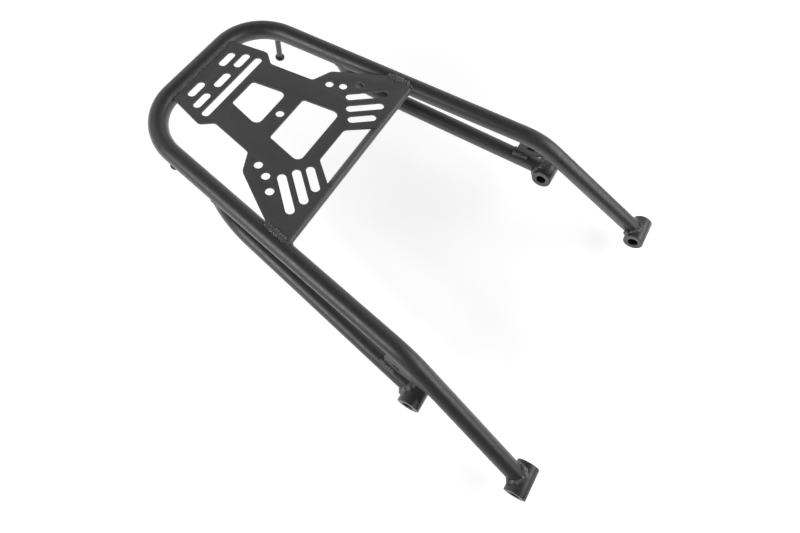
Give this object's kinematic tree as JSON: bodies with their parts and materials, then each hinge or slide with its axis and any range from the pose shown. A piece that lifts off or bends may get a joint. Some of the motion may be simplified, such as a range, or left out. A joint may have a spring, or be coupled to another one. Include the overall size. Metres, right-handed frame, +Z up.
{
  "type": "motorcycle top case rack",
  "caption": "Bent tube loop that narrows to the rear with a slotted top plate, a strut below each side and cross tubes for bolts at the strut and loop ends.",
  "frame": {"origin": "middle of the plate's centre hole at the plate's top face", "axes": "+Z up and square to the plate, +Y to the rear of the motorcycle, X across the rack"},
  "size_m": [0.3418, 0.4955, 0.1055],
  "materials": {
    "powder_coated_tube": "satin black powder coat with a fine grain",
    "powder_coated_plate": "matt black powder coat on flat sheet",
    "coated_weld": "rippled weld bead under satin black powder coat"
  },
  "bodies": {
    "root": {"main_loop_tube": "powder_coated_tube", "left_strut": "powder_coated_tube", "right_strut": "powder_coated_tube", "crossbar": "powder_coated_tube", "top_plate": "powder_coated_plate", "front_left_bolt_tube": "powder_coated_tube", "front_right_bolt_tube": "powder_coated_tube", "rear_left_bolt_tube": "powder_coated_tube", "rear_right_bolt_tube": "powder_coated_tube", "left_gusset": "powder_coated_tube", "right_gusset": "powder_coated_tube", "left_hook_pin": "powder_coated_tube", "right_hook_pin": "powder_coated_tube", "plate_rear_weld": "coated_weld", "plate_left_weld": "coated_weld", "plate_right_weld": "coated_weld", "crossbar_left_weld": "coated_weld", "crossbar_right_weld": "coated_weld", "front_left_tube_weld": "coated_weld", "front_right_tube_weld": "coated_weld", "rear_left_tube_weld": "coated_weld", "rear_right_tube_weld": "coated_weld", "left_strut_weld": "coated_weld", "right_strut_weld": "coated_weld", "left_gusset_weld": "coated_weld", "right_gusset_weld": "coated_weld", "left_pin_weld": "coated_weld", "right_pin_weld": "coated_weld"}
  },
  "joints": []
}
